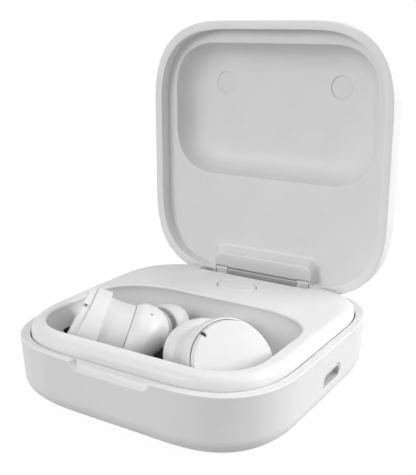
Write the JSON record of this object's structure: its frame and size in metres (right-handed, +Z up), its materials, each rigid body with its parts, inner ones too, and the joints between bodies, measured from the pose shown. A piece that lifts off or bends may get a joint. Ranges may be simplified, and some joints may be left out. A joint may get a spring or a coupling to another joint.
{
  "type": "wireless earbuds charging case",
  "caption": "Rounded square charging case with a hinged lid held open, a hollow cradle carrying wireless earbuds, a pairing button on the deck and a charging port in one side.",
  "frame": {"origin": "middle of the case's flat underside", "axes": "+Z up, -Y to the front with the thumb notch, +X to the side with the charging port"},
  "size_m": [0.072, 0.082, 0.089],
  "materials": {
    "shell_white": "fine satin moulding",
    "cradle_white": "fine satin moulding",
    "liner_white": "matt moulding",
    "button_white": "fine satin moulding",
    "bud_white": "polished moulding",
    "grip_silicone": "soft matt silicone",
    "tip_silicone": "soft translucent silicone",
    "hinge_dark": "dark blackened steel",
    "pin_steel": "ground steel",
    "socket_steel": "drawn steel",
    "tongue_black": "black moulding",
    "board_green": "solder mask",
    "cell_wrap": "wrapped pouch cell",
    "cell_steel": "plated steel can",
    "foam_pad": "closed cell foam",
    "flex_amber": "polyimide film",
    "contact_gold": "gold plated",
    "magnet_nickel": "nickel plated",
    "mesh_steel": "woven steel mesh",
    "driver_black": "black driver frame"
  },
  "bodies": {
    "base": {"base_shell": "shell_white", "cradle_deck": "cradle_white", "hinge_mount": "cradle_white", "hinge_pin": "pin_steel", "usb_socket": "socket_steel", "usb_tongue": "tongue_black", "main_board": "board_green", "board_screws": "pin_steel", "case_battery": "cell_wrap", "battery_pad": "foam_pad", "tact_switch": "tongue_black", "charge_flex": "flex_amber", "charge_pins": "contact_gold", "base_magnet": "magnet_nickel"},
    "button": {"pairing_button": "button_white"},
    "lid": {"lid_shell": "shell_white", "lid_liner": "liner_white", "lid_pads": "liner_white", "lid_magnet": "magnet_nickel", "hinge_block": "liner_white", "hinge_leaf": "hinge_dark"},
    "right_bud": {"right_bud_face": "bud_white", "right_bud_ring": "bud_white", "right_bud_band": "grip_silicone", "right_bud_housing": "bud_white", "right_bud_tip": "tip_silicone", "right_bud_mesh": "mesh_steel", "right_bud_contacts": "contact_gold", "right_bud_battery": "cell_steel", "right_bud_driver": "driver_black", "right_bud_board": "board_green"},
    "left_bud": {"left_bud_face": "bud_white", "left_bud_ring": "bud_white", "left_bud_band": "grip_silicone", "left_bud_housing": "bud_white", "left_bud_tip": "tip_silicone", "left_bud_mesh": "mesh_steel", "left_bud_contacts": "contact_gold", "left_bud_battery": "cell_steel", "left_bud_driver": "driver_black", "left_bud_board": "board_green"}
  },
  "joints": [
    {"name": "lid_hinge", "type": "hinge", "parent": "base", "child": "lid", "pos_m": [0, 0.0343, 0.0183], "axis": [1, 0, 0], "range_deg": [0, 90]},
    {"name": "right_bud_lift", "type": "slide", "parent": "base", "child": "right_bud", "axis": [0, 0, 1], "range_m": [0, 0.045]},
    {"name": "left_bud_lift", "type": "slide", "parent": "base", "child": "left_bud", "axis": [0, 0, 1], "range_m": [0, 0.045]},
    {"name": "button_press", "type": "slide", "parent": "base", "child": "button", "axis": [0, 0, -1], "range_m": [0, 0.0005], "stiffness_N_per_m": 400}
  ]
}
